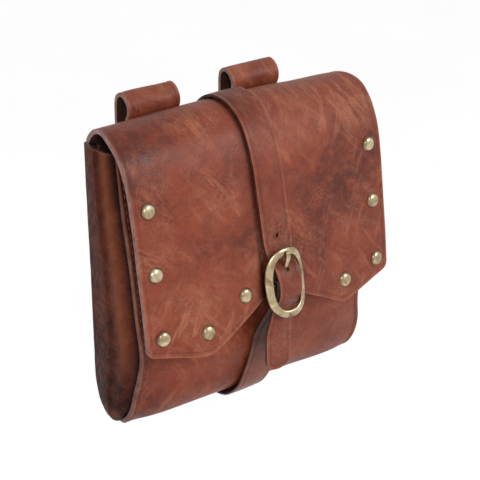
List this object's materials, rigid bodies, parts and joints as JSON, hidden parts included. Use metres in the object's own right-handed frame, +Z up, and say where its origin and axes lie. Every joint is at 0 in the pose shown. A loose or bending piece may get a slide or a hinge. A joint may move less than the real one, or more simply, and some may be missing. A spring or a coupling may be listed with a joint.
{
  "type": "medieval belt pouch",
  "caption": "Leather belt pouch: wedge-shaped body with side gussets, riveted flap with a W-shaped hem, buckled strap and belt loops.",
  "frame": {"origin": "middle of the belt that the pouch hangs on, half way between the two belt loops and in the middle of their slots", "axes": "+X to the right seen from the front, along the belt; +Y from the front of the pouch to its back; +Z up"},
  "size_m": [0.164, 0.0771, 0.1699],
  "materials": {
    "panel_leather": "reddish brown, waxed and scuffed",
    "flap_leather": "reddish brown, waxed and scuffed",
    "gusset_leather": "dark reddish brown, soft",
    "strap_leather": "reddish brown, waxed",
    "loop_leather": "reddish brown, waxed",
    "aged_brass": "antique, rubbed bright on its edges"
  },
  "bodies": {
    "root": {"body_panel": "panel_leather", "gusset_left": "gusset_leather", "gusset_right": "gusset_leather", "flap": "flap_leather", "belt_loop_left": "loop_leather", "belt_loop_right": "loop_leather", "strap_upper": "strap_leather", "strap_lower": "strap_leather", "buckle_frame": "aged_brass", "buckle_tongue": "aged_brass", "rivet_left_1": "aged_brass", "rivet_left_2": "aged_brass", "rivet_left_3": "aged_brass", "rivet_left_4": "aged_brass", "rivet_left_5": "aged_brass", "rivet_right_1": "aged_brass", "rivet_right_2": "aged_brass", "rivet_right_3": "aged_brass", "rivet_right_4": "aged_brass"}
  },
  "joints": []
}
